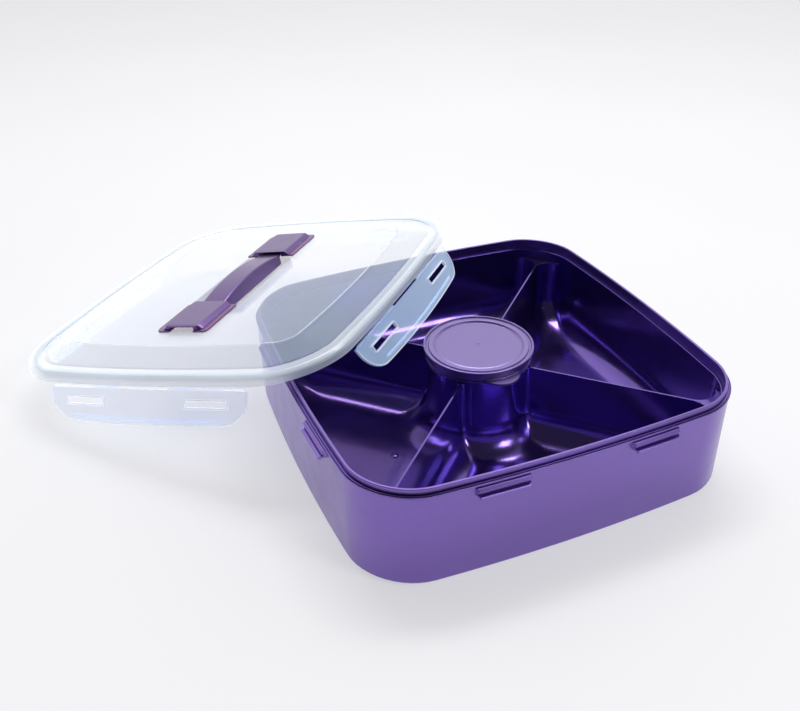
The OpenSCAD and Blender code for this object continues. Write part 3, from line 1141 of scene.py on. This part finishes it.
def block_shell(sign):
    """End block of the handle: sloped sides and a tunnel under its roof, between thin foot flanges."""

    def body(y, tuck=0.0, drop=0.0):
        roof = BLOCK_TOP - drop
        right = [(19.9 - tuck, 14.3, 0.3), (19.6 - tuck, 15.3, 0.6), (16.1 - tuck, roof, 1.0)]
        left = [(-u, v, r) for u, v, r in reversed(right)]
        ceiling = BLOCK_TOP - 1.0
        tunnel = [(-TUNNEL, 14.3, 0.1), (-TUNNEL, ceiling, 0.3), (TUNNEL, ceiling, 0.3), (TUNNEL, 14.3, 0.1)]
        outline = soften(right + left + tunnel, closed=True, steps=3)
        return [(u, sign * y, v) for u, v in outline]

    def foot(y, tuck=0.0):
        outer = FLANGE_HALF - tuck
        corners = [(TUNNEL, BLOCK_FOOT, 0.1), (outer, BLOCK_FOOT, 0.2)]
        corners += [(outer, FLANGE_UP, 0.6), (TUNNEL, FLANGE_UP, 0.1)]
        outline = soften(corners, closed=True, steps=3)
        return [(u, sign * y, v) for u, v in outline]

    stations = [body(BLOCK_START, 0.6, 0.5), body(BLOCK_START + 0.2, 0.2, 0.15), body(BLOCK_START + 0.7)]
    stations += [body(y) for y in (60, 72, 84, 89.5)]
    stations += [body(91.4, 0.3, 0.08), body(92.6, 1.0, 0.3), body(93.4, 2.0, 0.8)]
    shell = swept(stations)
    stations = [foot(BLOCK_START, 0.4), foot(BLOCK_START + 0.3), foot(70), foot(90)]
    stations += [foot(BLOCK_END - 2, 0.6), foot(BLOCK_END - 0.4, 2.0), foot(BLOCK_END, 3.2)]
    flange = swept(stations)
    mirrored = Shell().add(flange).map(lambda u, v, w: (-u, v, w))
    return shell.add(flange, second_material=True).add(mirrored, second_material=True)


# ---- the pieces ------------------------------------------------------------------------------------

# each piece, its mesh, its axes, its materials, the body it rides on, the CAD node it stands for, its slot
PIECES = [
    ("container_body", container_shell(), UPRIGHT, [purple_pearl], "base", "container", "body_purple"),
    ("tray_body", divided_tray_shell(), UPRIGHT, [indigo_pearl], "tray", "divided_tray", "tray_indigo", 50),
    ("dip_cup_body", dip_cup_shell(), UPRIGHT, [purple_pearl], "cup", "dip_cup", "body_purple"),
    ("cup_lid_body", cup_lid_shell(), UPRIGHT, [lilac_pearl], "cup_cover", "cup_lid", "cup_lid_lilac"),
    ("lid_body", lid_panel_shell(), LID_AXES, [clear_lid, denser_clear_and_painted_light], "lid", "lid_panel", "lid_clear"),
    ("lid_gasket", lid_seal_shell(), LID_AXES, [silicone], "lid", "lid_seal", "seal_silicone"),
]
for index, side in enumerate(("right", "back", "left", "front")):
    name, body, node = f"latch_flap_{side}", f"latch_{side}", f"flap_{side}"
    # the flaps take a brighter copy of the lid's clear and a whiter clear on slot rims and bead, both
    # painted light
    flap_materials = [flap_clear_with_painted_light, painted_edge_glow_clear]
    PIECES.append((name, flap_shell(), flap_axes(90 * index), flap_materials, body, node, "lid_clear"))
PIECES += [
    ("carrying_strap", strap_shell(), LID_AXES, [plum_handle], "strap", "handle_strap", "handle_plum"),
]
for sign, end in ((-1, "near"), (1, "far")):
    name, node = f"strap_block_{end}", f"handle_block_{end}"
    block_materials = [plum_handle, plum_edge]
    PIECES.append((name, block_shell(sign), LID_AXES, block_materials, "lid", node, "handle_plum"))
for piece in PIECES:
    make_piece(*piece)


# ---- floor, lights and camera ----------------------------------------------------------------------


# the direction in which the backdrop is brightest
BACKDROP = (0.366, 0.829, -0.423)


def studio_floor():
    mesh = bpy.data.meshes.new("studio_floor")
    reach = 25.0
    corners = [(-reach, -reach, 0), (reach, -reach, 0), (reach, reach, 0), (-reach, reach, 0)]
    mesh.from_pydata(corners, [], [(0, 1, 2, 3)])
    floor = bpy.data.objects.new("studio_floor", mesh)
    bpy.context.scene.collection.objects.link(floor)
    finish = Finish("paper_floor")
    paper = finish.ramp(finish.noise(3, 2), (0.50, 0.50, 0.505), (0.52, 0.52, 0.525))
    finish.link(paper, finish.shader.inputs["Base Color"])
    finish.fixed(Roughness=0.9, Emission_Color=(0.97, 0.97, 1.0, 1), Emission_Strength=0.54)
    mesh.materials.append(finish.material)


def softbox(name, place, target, size, power):
    data = bpy.data.lights.new(name, "AREA")
    data.shape = "RECTANGLE"
    data.size, data.size_y = size
    data.energy = power
    light = bpy.data.objects.new(name, data)
    light.location = place
    light.rotation_euler = (Vector(target) - Vector(place)).to_track_quat("-Z", "Y").to_euler()
    bpy.context.scene.collection.objects.link(light)


def studio_world():
    """A pale backdrop behind and below the object, darker overhead and in front of it."""
    world = bpy.data.worlds.new("studio")
    bpy.context.scene.world = world
    world.use_nodes = True
    nodes, links = world.node_tree.nodes, world.node_tree.links
    background = nodes["Background"]
    coords = nodes.new("ShaderNodeTexCoord")
    towards = nodes.new("ShaderNodeVectorMath")
    towards.operation = "DOT_PRODUCT"
    towards.inputs[1].default_value = BACKDROP
    ramp = nodes.new("ShaderNodeValToRGB")
    share = nodes.new("ShaderNodeMapRange")
    share.inputs["From Min"].default_value = -1
    links.new(coords.outputs["Generated"], towards.inputs[0])
    links.new(towards.outputs["Value"], share.inputs["Value"])
    links.new(share.outputs["Result"], ramp.inputs["Fac"])
    links.new(ramp.outputs["Color"], background.inputs["Color"])
    first, last = ramp.color_ramp.elements
    first.position, first.color = 0.32, (0.07, 0.07, 0.075, 1)
    last.position, last.color = 0.62, (1.0, 1.0, 1.0, 1)
    background.inputs["Strength"].default_value = 1.0


def studio_camera():
    yaw, pitch, roll = math.radians(23.84), math.radians(33.07), math.radians(-0.23)
    forward = Vector((math.cos(pitch) * math.sin(yaw), math.cos(pitch) * math.cos(yaw), -math.sin(pitch)))
    level = Vector((math.cos(yaw), -math.sin(yaw), 0))
    rise = level.cross(forward)
    right = math.cos(roll) * level + math.sin(roll) * rise
    up = -math.sin(roll) * level + math.cos(roll) * rise
    data = bpy.data.cameras.new("camera")
    data.sensor_width = 36
    data.lens = 40.40
    data.shift_x = -0.0383
    data.shift_y = 0.0106
    camera = bpy.data.objects.new("camera", data)
    bpy.context.scene.collection.objects.link(camera)
    place = (-0.2727, -0.5252, 0.4415)
    rows = [(right[i], up[i], -forward[i], place[i]) for i in range(3)]
    camera.matrix_world = Matrix((*rows, (0, 0, 0, 1)))
    bpy.context.scene.camera = camera


studio_floor()
studio_world()
softbox("overhead", place=(0.18, 0.62, 1.52), target=(0, 0.05, 0), size=(1.2, 0.35), power=11)
softbox("front_key", place=(0.80, -1.20, 1.28), target=(0, 0, 0), size=(0.5, 0.5), power=6)
studio_camera()
bpy.context.scene.view_settings.view_transform = "Standard"
